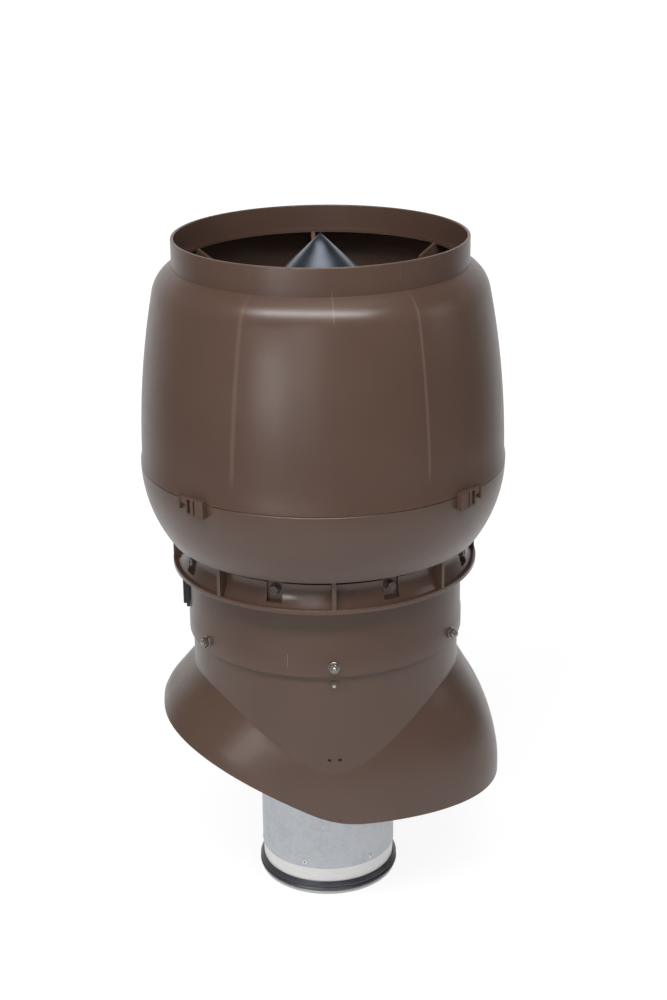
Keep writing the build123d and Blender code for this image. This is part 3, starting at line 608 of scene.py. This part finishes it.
# Pale stub where the mould's gate was twisted off the skirt's neck, above the front tongue: the same plastic,
# whitened and rough where it tore.
stub = clouded("pale_gate_stub", metallic=0.0, size=0.001, low="#A08D82", high="#C2B2A8", rough=0.5)
gate_height = 0.3124
gate_radius = 0.002
gate_seat = 0.1541
gate_face = 0.15645
gate_edge = 0.0003
gate = [(gate_radius, gate_seat), (gate_radius, gate_face - gate_edge), (gate_radius - gate_edge, gate_face)]
ring_of("gate_stub", turned("gate_stub_one", gate), stub, count=1, first=0, height=gate_height)

# Studio: a white floor under the pipe's duct, a white wall behind it that darkens towards the camera, and
# four soft lamps. The wide one above the front lights the hood's shoulder.
floor_radius = 40.0
floor_mesh = bpy.data.meshes.new("studio_floor")
floor_corners = [(x * floor_radius, y * floor_radius, 0) for x, y in ((-1, -1), (1, -1), (1, 1), (-1, 1))]
floor_mesh.from_pydata(floor_corners, [], [(0, 1, 2, 3)])
floor = bpy.data.objects.new("studio_floor", floor_mesh)
bpy.context.scene.collection.objects.link(floor)
paper, tree, shader, spot = material("white_paper_floor", metallic=0.0, specular=0.0)
shader.inputs["Base Color"].default_value = colour("#F4F4F4")
shader.inputs["Roughness"].default_value = 0.9
wall_side = Vector((0.0, 1.0, 0.0))
wall_dark = 0.14
wall_bright = 0.95
upper_wall = 0.12
ceiling_glow = 0.9


def wall_shade(tree, aim):
    """Brightness that the studio's walls show in a reflection, towards one side: dark higher up."""
    towards = add_node(tree, "ShaderNodeVectorMath", {0: aim, 1: wall_side}, operation="DOT_PRODUCT")
    wall = between(tree, towards.outputs["Value"], wall_dark, wall_bright, start=0.25, end=0.95, soft=True)
    rise = add_node(tree, "ShaderNodeSeparateXYZ", {"Vector": aim}).outputs["Z"]
    low = between(tree, rise, 1.0, upper_wall, start=0.3, end=0.6, soft=True)
    ceiling = between(tree, rise, 0.0, ceiling_glow, start=0.86, end=0.99, soft=True)
    return calculated(tree, "MULTIPLY_ADD", wall, low, ceiling)


def mixed(tree, factor, first, second):
    """Number between two others by a factor."""
    return add_node(tree, "ShaderNodeMix", {"Factor": factor, "A": first, "B": second},
                    data_type="FLOAT").outputs[0]


seen_share = 0.8
near_floor = 0.9
far_floor = 1.9
near_white = 1.12
far_white = 1.25
ray = add_node(tree, "ShaderNodeLightPath").outputs
watched = calculated(tree, "MULTIPLY", ray["Is Camera Ray"], seen_share)
glowing = calculated(tree, "ADD", watched, ray["Is Glossy Ray"])
outwards = add_node(tree, "ShaderNodeVectorMath", {0: spot}, operation="NORMALIZE").outputs[0]
away = add_node(tree, "ShaderNodeVectorMath", {0: spot}, operation="LENGTH").outputs["Value"]
far = between(tree, away, 0.0, 1.0, start=near_floor, end=far_floor)
mirrored = mixed(tree, far, 1.0, wall_shade(tree, outwards))
white = between(tree, far, near_white, far_white)
glow = add_node(tree, "ShaderNodeEmission",
                {"Color": colour("#FFFFFF"), "Strength": mixed(tree, ray["Is Camera Ray"], mirrored, white)})
surface = add_node(tree, "ShaderNodeMixShader", {0: glowing, 1: shader.outputs[0], 2: glow.outputs[0]})
tree.links.new(surface.outputs[0], tree.nodes["Material Output"].inputs["Surface"])
floor_mesh.materials.append(paper)

lit_side = Vector((-1, -0.3, 0))
dim_walls = 0.2
lit_walls = 0.39
world = bpy.data.worlds.new("studio_walls")
bpy.context.scene.world = world
world.use_nodes = True
tree = world.node_tree
ray = add_node(tree, "ShaderNodeLightPath").outputs
aim = add_node(tree, "ShaderNodeTexCoord").outputs["Generated"]
side = add_node(tree, "ShaderNodeVectorMath", {0: aim, 1: lit_side}, operation="DOT_PRODUCT").outputs["Value"]
shining = between(tree, side, dim_walls, lit_walls, start=-0.8, end=0.8)
plain = calculated(tree, "MAXIMUM", ray["Is Camera Ray"], ray["Is Transmission Ray"])
ambient = mixed(tree, plain, shining, 1.0)
backing = tree.nodes["Background"]
backing.inputs["Color"].default_value = (1, 1, 1, 1)
tree.links.new(mixed(tree, ray["Is Glossy Ray"], ambient, wall_shade(tree, aim)), backing.inputs["Strength"])


def soft_lamp(name, azimuth, elevation, distance, width, height, watts):
    """Soft lamp that faces the pipe's middle, at angles from the front."""
    middle = Vector((0, 0, 0.42))
    turn, lift = radians(azimuth), radians(elevation)
    away = Vector((sin(turn) * cos(lift), -cos(turn) * cos(lift), sin(lift)))
    data = bpy.data.lights.new(name, "AREA")
    data.shape = "RECTANGLE"
    data.size = width
    data.size_y = height
    data.energy = watts
    lamp = bpy.data.objects.new(name, data)
    lamp.location = middle + away * distance
    lamp.rotation_euler = away.to_track_quat("Z", "Y").to_euler()
    bpy.context.scene.collection.objects.link(lamp)


soft_lamp("top_lamp", azimuth=-12, elevation=58, distance=2.4, width=2.6, height=0.4, watts=58)
soft_lamp("front_lamp", azimuth=-14, elevation=12, distance=3.0, width=0.9, height=1.6, watts=7)
soft_lamp("left_lamp", azimuth=-34, elevation=4, distance=2.8, width=0.8, height=0.3, watts=8)
soft_lamp("right_lamp", azimuth=80, elevation=20, distance=2.8, width=0.8, height=1.2, watts=3)

bpy.context.scene.view_settings.view_transform = "Standard"
